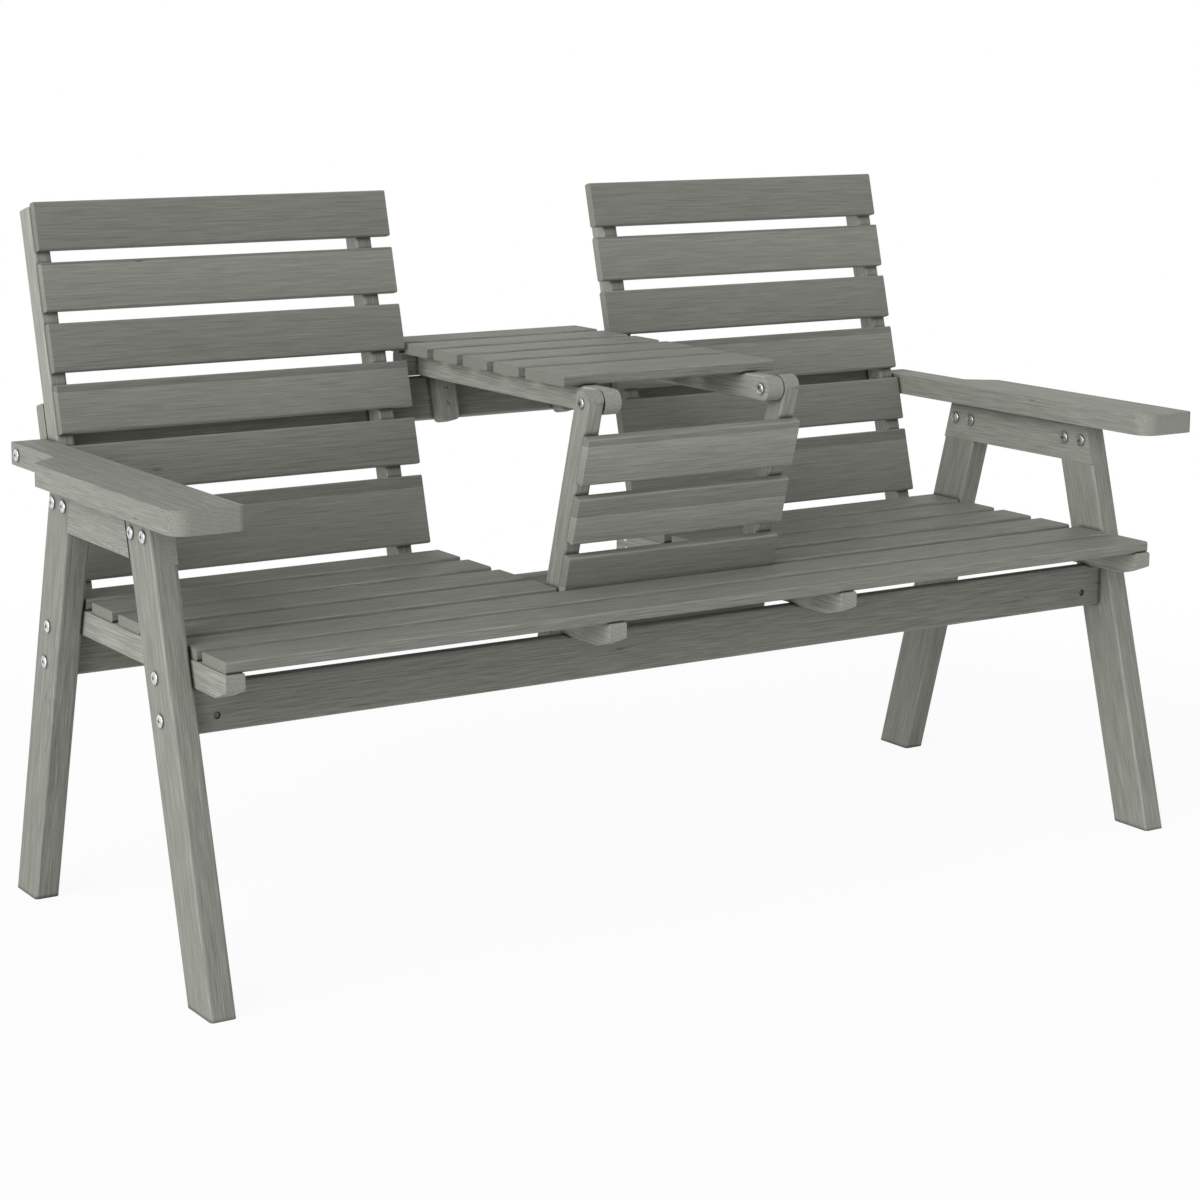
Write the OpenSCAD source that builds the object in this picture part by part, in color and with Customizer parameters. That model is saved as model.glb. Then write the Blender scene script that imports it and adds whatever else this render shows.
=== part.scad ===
// Convertible garden bench with a folding middle.
// X runs along the bench, Y runs from front to back, Z is up, the ground is at zero.
// It is drawn as a two-seat bench with a table: the middle seat panel stands up and
// carries the middle back panel as a table top. Folded, the middle is a third seat.
// Distances along Y start at the seat's front edge until bench_y centres the whole.

/* [Frame] */
// Width over the outer faces of the legs
frame_w = 1534; // [1300:2:1900]
// Thickness of a leg along the bench
leg_t = 34; // [28:1:45]
// Width of a leg, square to its length
leg_w = 67; // [55:1:85]
// Lean of the front legs from vertical, in degrees
front_lean = 15; // [8:0.5:18]
// Lean of the rear legs from vertical, in degrees
rear_lean = 15.6; // [8:0.2:18]
// Centre of the front feet, behind the seat's front edge
front_foot = 17.5; // [5:0.5:40]
// Distance between the centres of the front and rear feet
foot_span = 556; // [520:1:620]
// Height of the stretchers
stretcher_h = 61; // [45:1:75]
// Thickness of the stretchers
stretcher_t = 20; // [16:1:28]

/* [Bars and slats] */
// Thickness of every rail and stile along the bench
bar_w = 25; // [20:1:30]
// Depth of every rail and stile
bar_h = 34; // [28:1:42]
// Width of a slat
slat_w = 66; // [55:1:72]
// Thickness of a slat
slat_t = 15; // [12:1:20]
// Width of the bottom back slat and of the table's front slat
wide_w = 98; // [80:1:115]
// Rounding of the edges of legs and stretchers
leg_ease = 5; // [2:0.5:8]
// Rounding of the edges of rails, stiles and the cross rail
bar_ease = 4; // [1.5:0.5:6]
// Rounding of the edges of slats and armrests
slat_ease = 3; // [1:0.5:5]

/* [Seat] */
// Height of the seat's top face
seat_h = 430; // [400:1:470]
// Width of the middle bay, between the two middle seat rails
bay_w = 345; // [300:1:460]
// Gap between two seat slats
seat_gap = 19; // [12:1:24]
// Gap behind the front seat slat
front_gap = 15; // [8:1:24]
// Length of a seat rail in front of the front slat
rail_nose = 3; // [0:1:10]
// Length of the sloped underside at a seat rail's front end
rail_slope_l = 33; // [15:1:60]
// Height of the sloped underside at a seat rail's front end
rail_slope_h = 13; // [6:1:18]
// Length of a seat rail behind the rear slat
rail_tail = 62; // [58:1:80]
// Clearance between the seat slats' ends and the legs
slat_end_gap = 2; // [1:0.5:6]

/* [Backrests] */
// Recline of the backrests from vertical, in degrees
recline = 14.7; // [10:0.1:18]
// Gap between two back slats
back_gap = 16.4; // [10:0.1:22]
// Distance from the rear seat slat to the backrest's front face, at seat height
back_set = 12; // [8:1:25]
// Height of the backrests' lower edge above the seat
back_lift = 8; // [4:1:30]
// Distance of the stiles' top ends below the top edge
stile_drop = 4; // [0:1:15]
// Distance of the back slats' inner ends from the middle bay
back_bay_gap = 2.5; // [1:0.5:10]
// Distance of the back slats' outer ends from the outer stile's side
back_end_gap = 3; // [0:0.5:8]
// Height of the cross rail behind the backrests
cross_h = 64; // [50:1:80]
// Width of a rest block on the cross rail
block_w = 30; // [20:1:40]
// Depth of a rest block, square to the cross rail
block_t = 25; // [18:1:30]
// Length of a rest block below the cross rail's lower edge
block_drop = 7; // [2:1:15]
// Rounding of a rest block's lower corners
block_round = 8; // [3:1:12]

/* [Armrests] */
// Height of the armrests' top face above the seat
arm_h = 186; // [160:1:230]
// Thickness of the armrests
arm_t = 30; // [22:1:38]
// Distance of the armrest's outer edge from the leg's outer face
arm_side = 33; // [20:1:50]
// Width of the armrest's narrow tail
arm_tail_w = 51; // [42:1:60]
// Distance of the armrest's front end before the seat's front edge
arm_nose = 11; // [0:1:30]
// How far the armrest reaches behind the bolt in its tail
arm_past_bolt = 24; // [16:1:40]
// Length of the armrest's narrow tail
arm_tail_l = 154; // [130:1:170]
// Length of the slanted step from the wide part to the tail
arm_step = 34; // [20:1:50]
// Radius of the armrests' large front corner, on the left of each as in the photo
arm_round = 24; // [12:1:44]
// Radius of the armrest's other corners
arm_corner = 8; // [4:1:12]
// Height of the board that carries the armrest
arm_board_h = 60; // [45:1:70]
// Thickness of that board's ends, in the legs' notches
arm_board_t = 17; // [10:1:18]
// Gap between that board's thick middle and the legs
lap_gap = 0.3; // [0.1:0.1:1]

/* [Folding middle] */
// Lean of the upright seat panel towards the front, in degrees
panel_lean = 15.9; // [12:0.1:20]
// Distance from the rear seat slat's edge to the lower pivot
pivot_back = 280; // [274:1:286]
// Depth of the lower pivot below the seat's top face
pivot_drop = 43; // [41:0.5:44]
// Distance between the lower and the upper pivot, along the panel
pivot_span = 310; // [304:1:316]
// Distance from the lower pivot to the panel's upper slat edge
panel_top = 272; // [266:1:276]
// Length of a panel stile below the lower pivot
panel_tail = 43; // [30:1:46]
// Clearance between the panel and the middle seat rails, on each side
panel_gap = 3; // [2:0.5:5]
// Clearance between the panel's stiles and the table's rails
table_side_gap = 1.5; // [1:0.5:4]
// Distance from the upper pivot to the table's front edge
table_set = 41.5; // [38:0.5:50]
// Gap between two table slats
table_gap = 17; // [12:0.5:20]
// Length of the table's rear edge behind its rails
table_tail = 7; // [2:1:20]
// How far the table's rear batten stands out in front of the last slat
batten_lap = 6.5; // [0:0.5:12]
// Clearance under the table's batten where it rests
rest_gap = 0.3; // [0.2:0.1:1]
// Clearance between the table's rails and the rest blocks
block_side_gap = 1; // [0.5:0.5:4]

/* [Fasteners] */
// Diameter of the bolts
bolt_d = 6; // [5:0.5:8]
// Diameter of the bolt heads
bolt_head_d = 16; // [12:0.5:18]
// Height of the bolt heads
bolt_head_h = 3.5; // [2.5:0.5:5]
// Diameter of the heads on the folding panel's pivot bolts
pivot_head_d = 14; // [11:0.5:15]
// Height of the heads on the folding panel's pivot bolts
pivot_head_h = 2.4; // [1.5:0.1:2.6]
// Width over the flats of a hex nut
nut_w = 10; // [8:0.5:11]
// Thickness of a hex nut
nut_h = 5; // [4:0.5:6]
// Height of the upper leg bolts above the seat rails' lower faces
rail_bolt_up = 10; // [9:1:14]
// Height of the lower leg bolts above the stretchers' lower faces
stretcher_bolt_up = 21; // [12:1:30]
// Length of the bolts into the stretchers
long_bolt_l = 80; // [78:1:84]
// Distance of a barrel nut from the leg's inner face
barrel_in = 35; // [25:1:42]
// Diameter of a barrel nut
barrel_d = 9.5; // [9:0.5:12]
// Length of a barrel nut
barrel_l = 15; // [12:1:16]
// Distance between two arm bolts in one leg
arm_bolt_gap = 36; // [26:1:40]
// Outer diameter of a sleeve nut's barrel
sleeve_d = 9; // [8:0.5:11]
// Depth of the cross recess in a head
recess_h = 1.2; // [0.8:0.1:1.6]
// Diameter of an armrest dowel
dowel_d = 8; // [6:1:10]
// Length of an armrest dowel in the leg
dowel_down = 22; // [15:1:24]
// Length of an armrest dowel in the armrest
dowel_up = 18; // [12:1:20]
// Diameter of a slat screw
screw_d = 4; // [3.5:0.5:5]
// Length of a slat screw
screw_l = 40; // [36:1:42]
// Diameter of a screw head
screw_head_d = 8; // [7:0.5:9]
// Height of a screw head
screw_head_h = 2.5; // [2:0.5:3.5]
// Depth of a slat screw's counterbore
slat_bore_h = 5; // [3:1:8]
// Distance of a seat screw from its slat's front edge
screw_in = 20; // [14:1:30]
// Distance of the screws in a seat rail from its centre line
screw_side = 5; // [4.5:0.5:6]
// Diameter of a frame screw
frame_screw_d = 5; // [4:0.5:6]
// Length of a frame screw
frame_screw_l = 45; // [38:1:46]
// Depth of the counterbore over a stretcher
stretcher_bore_h = 14; // [8:1:18]
// Radial clearance round every bolt and screw
fit = 0.05; // [0.02:0.01:0.1]

/* [Hidden] */
$fn = 40;

leg_colour = [0.50, 0.51, 0.47];
bar_colour = [0.46, 0.47, 0.43];
slat_colour = [0.48, 0.49, 0.45];
steel_colour = [0.78, 0.79, 0.80];
dowel_colour = [0.76, 0.64, 0.46];

// Counts that the design keeps
seat_rows = 6;
back_rows = 6;
panel_rows = 4;
ease_steps = 4;
sides = [-1, 1];

// Overshoot of a cut past the face that it opens
cut = 1;
// Length that outreaches the whole bench
reach = 3000;

// Heights
rail_top = seat_h - slat_t;
rail_under = rail_top - bar_h;
stretcher_under = rail_under - stretcher_h;
arm_top = seat_h + arm_h;
arm_under = arm_top - arm_t;
tail_bolt_z = arm_under + arm_t / 2;
arm_board_under = arm_under - arm_board_h;
rail_bolt_z = rail_under + rail_bolt_up;
stretcher_bolt_z = stretcher_under + stretcher_bolt_up;
arm_bolt_z = arm_under - arm_board_h * 0.45;

// Places along the bench
leg_out = frame_w / 2;
leg_in = leg_out - leg_t;
end_rail_in = leg_in - bar_w;
bay = bay_w / 2;
middle_rail_out = bay + bar_w;
panel_out = bay - panel_gap;
panel_in = panel_out - bar_w;
table_rail_out = panel_in - table_side_gap;
table_rail_in = table_rail_out - bar_w;
block_out = table_rail_in - block_side_gap;
block_in = block_out - block_w;
slat_end = leg_in - slat_end_gap;
back_slat_in = bay + back_bay_gap;
back_slat_out = end_rail_in - back_end_gap;
arm_out = leg_out + arm_side;
arm_tail_out = end_rail_in + arm_tail_w;
notch_out = leg_in + arm_board_t;

// Places from front to back
seat_pitch = slat_w + seat_gap;
second_row = slat_w + front_gap;
seat_depth = second_row + (seat_rows - 2) * seat_pitch + slat_w;
rail_front = -rail_nose;
rail_rear = seat_depth + rail_tail;
rear_foot = front_foot + foot_span;
arm_front = -arm_nose;
function front_leg_y(z) = front_foot + z * tan(front_lean);
function rear_leg_y(z) = rear_foot - z * tan(rear_lean);
function row_y(i) = i == 0 ? 0 : second_row + (i - 1) * seat_pitch;
front_stretcher_y = front_leg_y(stretcher_bolt_z);
rear_stretcher_y = rear_leg_y(stretcher_bolt_z);

// Backrest: its own frame has Y through the slats to the rear and Z up the slope
back_z = seat_h + back_lift;
back_y = seat_depth + back_set + back_lift * tan(recline);
back_pitch = slat_w + back_gap;
back_l = wide_w + (back_rows - 1) * back_pitch;
stile_back = slat_t + bar_h;
stile_l = back_l - stile_drop;
function back_row(i) = i == 0 ? 0 : wide_w + back_gap + (i - 1) * back_pitch;
function stile_y(z) = back_y + (stile_back - bar_h / 2) * cos(recline)
  + (z - back_z + (stile_back - bar_h / 2) * sin(recline)) * tan(recline);
arm_rear = stile_y(tail_bolt_z) + arm_past_bolt;

// Folding panel: its own frame starts at the lower pivot, Z up the panel, Y to its rear
pivot_y = seat_depth - pivot_back;
pivot_z = seat_h - pivot_drop;
panel_face = -pivot_drop;
panel_back = panel_face + slat_t + bar_h;
upper_off = panel_face + slat_t + bar_h / 2;
upper_y = pivot_y - pivot_span * sin(panel_lean) + upper_off * cos(panel_lean);
upper_z = pivot_z + pivot_span * cos(panel_lean) + upper_off * sin(panel_lean);
function panel_row(i) = panel_top - slat_w - i * seat_pitch;

// Table
table_under = upper_z - bar_h / 2;
table_rail_top = upper_z + bar_h / 2;
table_front = upper_y + table_set;
table_pitch = slat_w + table_gap;
table_l = wide_w + (back_rows - 1) * table_pitch;
table_rail_rear = table_front + table_l - table_tail;
function table_row(i) = table_front + (i == 0 ? 0 : wide_w + table_gap + (i - 1) * table_pitch);
function table_row_w(i) = i == 0 ? wide_w : slat_w;
batten_y = table_row(back_rows - 1) - batten_lap;

// Cross rail: the rest block's top carries the table's batten, just above the rail
cross_under_block = 2;
cross_top_z = table_under - rest_gap - cross_under_block;
cross_top = (cross_top_z - back_z + stile_back * sin(recline)) / cos(recline);
cross_low = cross_top - cross_h;

// The whole is centred from front to back over the ground
front_most = front_foot - leg_w / 2 / cos(front_lean);
rear_most = back_y + stile_back * cos(recline) + stile_l * sin(recline);
bench_y = -(front_most + rear_most) / 2;

// Fastener lengths
rail_bolt_l = leg_t + bar_w + nut_h;
sleeve_l = arm_board_t - 2;
arm_bolt_l = leg_t - 2;
lower_bolt_l = bar_w + panel_gap + bar_w + rest_gap + nut_h;
upper_cap_h = pivot_head_h + 1.6;
upper_bolt_l = bar_w + table_side_gap + bar_w + rest_gap + pivot_head_h;
washer_d = 2.4 * bolt_d;
upper_washer_t = table_side_gap - 2 * 0.25;
lower_spacer_t = panel_gap - 0.5;

// Screw places
stile_screw_z = rail_under + bar_h / 2;
stile_screw_off = 8;
block_screw_off = 11;
batten_screw_x = 60;
batten_screw_y = (table_row(back_rows - 1) + batten_y + bar_w) / 2;

// Outline of a rectangle with eased corners, centred on the origin
function eased(w, h, r) = [
  for (q = [0 : 3])
    for (i = [0 : ease_steps])
      let (a = q * 90 + i * 90 / ease_steps, sx = q == 0 || q == 3 ? 1 : -1, sy = q < 2 ? 1 : -1)
        [sx * (w / 2 - r) + r * cos(a), sy * (h / 2 - r) + r * sin(a)]
];

// Points of a fillet of radius r at corner b of the path a, b, c
function fillet(a, b, c, r, n = 8) =
  let (
    u = (a - b) / norm(a - b),
    v = (c - b) / norm(c - b),
    half = acos(u * v) / 2,
    m = (u + v) / norm(u + v),
    centre = b + m * r / sin(half),
    from = b + u * r / tan(half) - centre,
    to = b + v * r / tan(half) - centre,
    turn = from.x * to.y - from.y * to.x > 0 ? 1 : -1,
    start = atan2(from.y, from.x)
  )
  [for (i = [0 : n]) centre + r * [cos(start + turn * i * (180 - 2 * half) / n),
                                   sin(start + turn * i * (180 - 2 * half) / n)]];

// Closed outline through points [x, y, radius], with a fillet at each
function filleted(p) = [
  for (i = [0 : len(p) - 1])
    let (
      a = p[(i + len(p) - 1) % len(p)],
      b = p[i],
      c = p[(i + 1) % len(p)]
    )
    each fillet([a.x, a.y], [b.x, b.y], [c.x, c.y], b.z)
];

// Beam that fills the box lo to hi, with its four long edges eased
module beam_x(lo, hi, r) {
  size = hi - lo;
  translate((lo + hi) / 2)
    rotate([90, 0, 90])
      linear_extrude(height = size.x, center = true)
        polygon(eased(size.y, size.z, r));
}

module beam_y(lo, hi, r) {
  size = hi - lo;
  translate((lo + hi) / 2)
    rotate([90, 0, 0])
      linear_extrude(height = size.y, center = true)
        polygon(eased(size.x, size.z, r));
}

module beam_z(lo, hi, r) {
  size = hi - lo;
  translate((lo + hi) / 2)
    linear_extrude(height = size.z, center = true)
      polygon(eased(size.x, size.y, r));
}

// Rod along X from x0 to x1
module rod_x(x0, x1, y, z, d) {
  translate([min(x0, x1), y, z])
    rotate([0, 90, 0])
      cylinder(h = abs(x1 - x0), d = d);
}

// Slab between two heights, far wider than the bench
module level(z0, z1) {
  translate([-reach / 2, -reach / 2, z0])
    cube([reach, reach, z1 - z0]);
}

// Children that are drawn once on the right and once on the left
module both_sides() {
  for (s = sides)
    mirror([s < 0 ? 1 : 0, 0, 0])
      children();
}

// Children on the left side if side is -1, on the right side if it is 1
module on_side(side) {
  mirror([side < 0 ? 1 : 0, 0, 0])
    children();
}

module placed() {
  translate([0, bench_y, 0])
    children();
}

module back_frame() {
  translate([0, back_y, back_z])
    rotate([-recline, 0, 0])
      children();
}

module panel_frame() {
  translate([0, pivot_y, pivot_z])
    rotate([panel_lean, 0, 0])
      children();
}

// Domed head with a cross recess, standing on Z = 0
module pan_head(d, h) {
  edge = h * 0.55;
  slot_l = d * 0.42;
  slot_w = d * 0.11;
  difference() {
    rotate_extrude()
      polygon(concat(
        [[0, 0], [d / 2, 0], [d / 2, edge]],
        [for (i = [1 : 5]) [d / 2 * cos(i * 18), edge + (h - edge) * sin(i * 18)]]
      ));
    for (a = [0, 90])
      rotate([0, 0, a])
        translate([-slot_l / 2, -slot_w / 2, h - recess_h])
          cube([slot_l, slot_w, recess_h + cut]);
  }
}

// Bolt whose shank runs along -Z from its head's seat at Z = 0
module bolt(l, head_d, head_h) {
  pan_head(head_d, head_h);
  translate([0, 0, -l])
    cylinder(h = l, d = bolt_d);
}

// Bolt at the right side whose head sits at x and whose shank runs inwards
module bolt_in(x, y, z, l, head_d, head_h) {
  translate([x, y, z])
    rotate([0, 90, 0])
      bolt(l, head_d, head_h);
}

module hex_nut() {
  difference() {
    cylinder(h = nut_h, d = nut_w / cos(30), $fn = 6);
    translate([0, 0, -cut])
      cylinder(h = nut_h + 2 * cut, d = bolt_d + 2 * fit);
  }
}

// Screw that enters at Z = 0 and runs along +Z from a counterbore
module screw(d, l, bore) {
  translate([0, 0, bore - screw_head_h])
    difference() {
      cylinder(h = screw_head_h, d = screw_head_d);
      for (a = [0, 90])
        rotate([0, 0, a])
          translate([-screw_head_d * 0.25, -screw_d * 0.12, -cut])
            cube([screw_head_d * 0.5, screw_d * 0.24, cut + 1]);
    }
  translate([0, 0, bore])
    cylinder(h = l - screw_head_h, d = d);
}

module screw_hole(d, l, bore) {
  translate([0, 0, -cut])
    cylinder(h = bore + cut, d = screw_head_d + 4 * fit);
  translate([0, 0, bore - fit])
    cylinder(h = l - screw_head_h + 2 * fit, d = d + 2 * fit);
}

module slat_screw() {
  screw(screw_d, screw_l, slat_bore_h);
}

module slat_screw_hole() {
  screw_hole(screw_d, screw_l, slat_bore_h);
}

// Places of the slat screws: from below in the seat, from behind in the backrests
// The front slat's screws sit behind the rails' sloped ends
function seat_screw_y(i) = row_y(i) + (i == 0 ? slat_w - screw_in : screw_in);

module at_seat_rail_screws(i) {
  for (x = [end_rail_in, bay])
    translate([x + bar_w / 2 + screw_side, seat_screw_y(i), rail_under])
      children();
}

module at_back_screws(i) {
  w = i == 0 ? wide_w : slat_w;
  for (x = [end_rail_in - bar_w / 2, middle_rail_out + bar_w / 2])
    translate([x, stile_back, back_row(i) + w / 2])
      rotate([90, 0, 0])
        children();
}

module at_panel_screws(i) {
  translate([panel_out - bar_w / 2, panel_back, panel_row(i) + slat_w / 2])
    rotate([90, 0, 0])
      children();
}

module at_table_screws(i) {
  translate([table_rail_in + bar_w / 2, table_row(i) + table_row_w(i) / 2, table_under])
    children();
}

module at_batten_screws() {
  translate([batten_screw_x, batten_screw_y, table_under])
    children();
}

// Places of the frame screws, on the right side
module at_cross_screws() {
  for (x = [end_rail_in - bar_w / 2, middle_rail_out + bar_w / 2])
    translate([x, stile_back + bar_w, cross_low + cross_h / 2])
      rotate([90, 0, 0])
        children();
}

module at_block_screws() {
  for (off = [-block_screw_off, block_screw_off])
    translate([(block_in + block_out) / 2, stile_back - block_t, cross_low + cross_h * 0.45 + off])
      rotate([-90, 0, 0])
        children();
}

module at_stretcher_screws() {
  for (x = [end_rail_in, bay])
    for (y = [front_stretcher_y, rear_stretcher_y])
      translate([x + bar_w / 2 - screw_side, y, rail_top])
        rotate([180, 0, 0])
          children();
}

module at_stile_screws() {
  for (off = [-stile_screw_off, stile_screw_off]) {
    translate([end_rail_in - bar_w, stile_y(stile_screw_z + off), stile_screw_z + off])
      rotate([0, 90, 0])
        children();
    translate([bay, stile_y(stile_screw_z + off), stile_screw_z + off])
      rotate([0, 90, 0])
        children();
  }
}

module frame_screw(bore) {
  screw(frame_screw_d, frame_screw_l, bore);
}

module frame_screw_hole(bore) {
  screw_hole(frame_screw_d, frame_screw_l, bore);
}

// Holes of the bolts through the legs, on the right side
module leg_bolt_holes() {
  d = bolt_d + 2 * fit;
  for (y = [front_leg_y(rail_bolt_z), rear_leg_y(rail_bolt_z)])
    rod_x(end_rail_in - cut, leg_out + cut, y, rail_bolt_z, d);
  for (y = [front_stretcher_y, rear_stretcher_y])
    rod_x(leg_out - long_bolt_l - cut, leg_out + cut, y, stretcher_bolt_z, d);
  at_arm_bolts()
    rod_x(leg_in - cut, leg_out + cut, 0, 0, d);
}

module at_arm_bolts() {
  for (y = [front_leg_y(arm_bolt_z), rear_leg_y(arm_bolt_z)])
    for (off = [-arm_bolt_gap / 2, arm_bolt_gap / 2])
      translate([0, y + off, arm_bolt_z])
        children();
}

module sleeve_holes() {
  at_arm_bolts()
    rod_x(leg_in - cut, leg_in + sleeve_l + fit, 0, 0, sleeve_d + 2 * fit);
}

// Places of the dowels between the legs' tops and the armrest
module at_dowels() {
  for (y = [front_leg_y(arm_under), rear_leg_y(arm_under)])
    translate([(notch_out + leg_out) / 2, y, arm_under])
      children();
}

module dowel(d) {
  translate([0, 0, -dowel_down])
    cylinder(h = dowel_down + dowel_up, d = d);
}

// A leg of the right side, cut level at the ground and under the armrest
module leg(foot_y, lean) {
  color(leg_colour)
    difference() {
      intersection() {
        translate([0, foot_y, 0])
          rotate([lean, 0, 0])
            beam_z([leg_in, -leg_w / 2, -leg_w], [leg_out, leg_w / 2, arm_top + leg_w], leg_ease);
        level(0, arm_under);
      }
      translate([leg_in - cut, -reach / 2, arm_board_under])
        cube([arm_board_t + cut, reach, arm_board_h + cut]);
      leg_bolt_holes();
      at_dowels()
        dowel(dowel_d + 2 * fit);
    }
}

module front_leg(side) {
  placed()
    on_side(side)
      leg(front_foot, -front_lean);
}

module rear_leg(side) {
  placed()
    on_side(side)
      leg(rear_foot, rear_lean);
}

// One layer of the board that joins a pair of legs, past the legs' centre lines by over_front
// and over_rear
module arm_board_layer(thick, over_front, over_rear) {
  translate([leg_in, 0, 0])
    rotate([90, 0, 90])
      linear_extrude(height = thick)
        polygon([
          [front_leg_y(arm_board_under) - over_front, arm_board_under],
          [rear_leg_y(arm_board_under) + over_rear, arm_board_under],
          [rear_leg_y(arm_under) + over_rear, arm_under],
          [front_leg_y(arm_under) - over_front, arm_under]
        ]);
}

// Board lapped into a pair of legs: as thick as they are between them, thinner in their notches
module arm_support(side) {
  half_front = leg_w / 2 / cos(front_lean);
  half_rear = leg_w / 2 / cos(rear_lean);
  placed()
    on_side(side)
      color(bar_colour)
        difference() {
          union() {
            arm_board_layer(arm_board_t, half_front, half_rear);
            arm_board_layer(leg_t, -half_front - lap_gap, -half_rear - lap_gap);
          }
          leg_bolt_holes();
          sleeve_holes();
        }
}

module armrest(side) {
  inner = end_rail_in;
  tail_front = arm_rear - arm_tail_l;
  placed()
    on_side(side)
      color(leg_colour)
        difference() {
          translate([0, 0, arm_under])
            linear_extrude(height = arm_t)
              polygon(filleted([
                [inner, arm_front, side > 0 ? arm_round : arm_corner],
                [arm_out, arm_front, side > 0 ? arm_corner : arm_round],
                [arm_out, tail_front - arm_step, arm_corner],
                [arm_tail_out, tail_front, arm_corner],
                [arm_tail_out, arm_rear, arm_corner / 2],
                [inner, arm_rear, arm_corner / 2]
              ]));
          at_dowels()
            dowel(dowel_d + 2 * fit);
          tail_bolt_hole();
        }
}

// The tail bolt ties the armrest to the backrest's outer stile
module tail_bolt_hole() {
  rod_x(end_rail_in - bar_w - cut, arm_tail_out + cut, stile_y(tail_bolt_z), tail_bolt_z,
        bolt_d + 2 * fit);
}

module stretcher(y) {
  placed()
    color(leg_colour)
      difference() {
        beam_x([-leg_in, y - stretcher_t / 2, stretcher_under],
               [leg_in, y + stretcher_t / 2, rail_under], bar_ease);
        both_sides() {
          leg_bolt_holes();
          at_barrel_nuts()
            translate([0, 0, -cut])
              cylinder(h = barrel_l + 2 + cut, d = barrel_d + 2 * fit);
          at_stretcher_screws()
            frame_screw_hole(stretcher_bore_h);
        }
      }
}

// A barrel nut's hole opens in the front face of the front stretcher
// and in the rear face of the rear one; Z points into the wood
module at_barrel_nuts() {
  x = leg_in - barrel_in;
  translate([x, front_stretcher_y - stretcher_t / 2, stretcher_bolt_z])
    rotate([-90, 0, 0])
      children();
  translate([x, rear_stretcher_y + stretcher_t / 2, stretcher_bolt_z])
    rotate([90, 0, 0])
      children();
}

// Side outline of a seat rail, with a sloped underside at its front
function rail_outline() = filleted([
  [rail_front, rail_under + rail_slope_h, bar_ease],
  [rail_front, rail_top, bar_ease],
  [rail_rear, rail_top, bar_ease / 2],
  [rail_rear, rail_under, bar_ease],
  [rail_front + rail_slope_l, rail_under, bar_ease]
]);

module seat_rail(side, x0) {
  placed()
    on_side(side)
      color(bar_colour)
        difference() {
          intersection() {
            beam_y([x0, rail_front, rail_under], [x0 + bar_w, rail_rear, rail_top], bar_ease / 2);
            translate([x0 - cut, 0, 0])
              rotate([90, 0, 90])
                linear_extrude(height = bar_w + 2 * cut)
                  polygon(rail_outline());
          }
          leg_bolt_holes();
          for (i = [0 : seat_rows - 1])
            at_seat_rail_screws(i)
              slat_screw_hole();
          at_stretcher_screws()
            frame_screw_hole(stretcher_bore_h);
          at_stile_screws()
            frame_screw_hole(screw_head_h);
          rod_x(bay - cut, middle_rail_out + cut, pivot_y, pivot_z, bolt_d + 2 * fit);
        }
}

// Row i of the seat, from the front: two long slats, then rows of two half slats
module seat_slat_row(i) {
  y = row_y(i);
  placed()
    color(slat_colour)
      if (i < 2)
        difference() {
          beam_x([-slat_end, y, rail_top], [slat_end, y + slat_w, seat_h], slat_ease);
          both_sides()
            at_seat_rail_screws(i)
              slat_screw_hole();
        }
      else
        both_sides()
          difference() {
            beam_x([bay, y, rail_top], [slat_end, y + slat_w, seat_h], slat_ease);
            at_seat_rail_screws(i)
              slat_screw_hole();
          }
}

module back_slat_row(i) {
  z = back_row(i);
  w = i == 0 ? wide_w : slat_w;
  placed()
    back_frame()
      color(slat_colour)
        both_sides()
          difference() {
            beam_x([back_slat_in, 0, z], [back_slat_out, slat_t, z + w], slat_ease);
            at_back_screws(i)
              slat_screw_hole();
          }
}

// The four stiles run down beside the seat rails and end level with their undersides
module back_stiles() {
  placed()
    color(bar_colour)
      both_sides()
        difference() {
          intersection() {
            back_frame()
              for (x = [end_rail_in - bar_w, middle_rail_out])
                beam_z([x, slat_t, -reach / 10], [x + bar_w, stile_back, stile_l], bar_ease);
            level(rail_under, reach);
          }
          back_frame() {
            for (i = [0 : back_rows - 1])
              at_back_screws(i)
                slat_screw_hole();
            at_cross_screws()
              frame_screw_hole(screw_head_h);
          }
          at_stile_screws()
            frame_screw_hole(screw_head_h);
          tail_bolt_hole();
        }
}

module back_cross_rail() {
  placed()
    color(bar_colour)
      back_frame()
        difference() {
          beam_x([-end_rail_in, stile_back, cross_low],
                 [end_rail_in, stile_back + bar_w, cross_top], bar_ease);
          both_sides() {
            at_cross_screws()
              frame_screw_hole(screw_head_h);
            at_block_screws()
              frame_screw_hole(screw_head_h);
          }
        }
}

// Two blocks on the cross rail's front face carry the table's rear batten
module rest_blocks() {
  low = cross_low - block_drop;
  high = cross_top + block_t;
  placed()
    color(bar_colour)
      both_sides()
        difference() {
          intersection() {
            back_frame()
              translate([0, stile_back, 0])
                rotate([90, 0, 0])
                  linear_extrude(height = block_t)
                    polygon(filleted([
                      [block_in, low, block_round],
                      [block_out, low, block_round],
                      [block_out, high, slat_ease],
                      [block_in, high, slat_ease]
                    ]));
            level(0, table_under - rest_gap);
          }
          back_frame()
            at_block_screws()
              frame_screw_hole(screw_head_h);
        }
}

module rail_bolts() {
  placed()
    color(steel_colour)
      both_sides()
        for (y = [front_leg_y(rail_bolt_z), rear_leg_y(rail_bolt_z)])
          bolt_in(leg_out, y, rail_bolt_z, rail_bolt_l, bolt_head_d, bolt_head_h);
}

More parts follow.
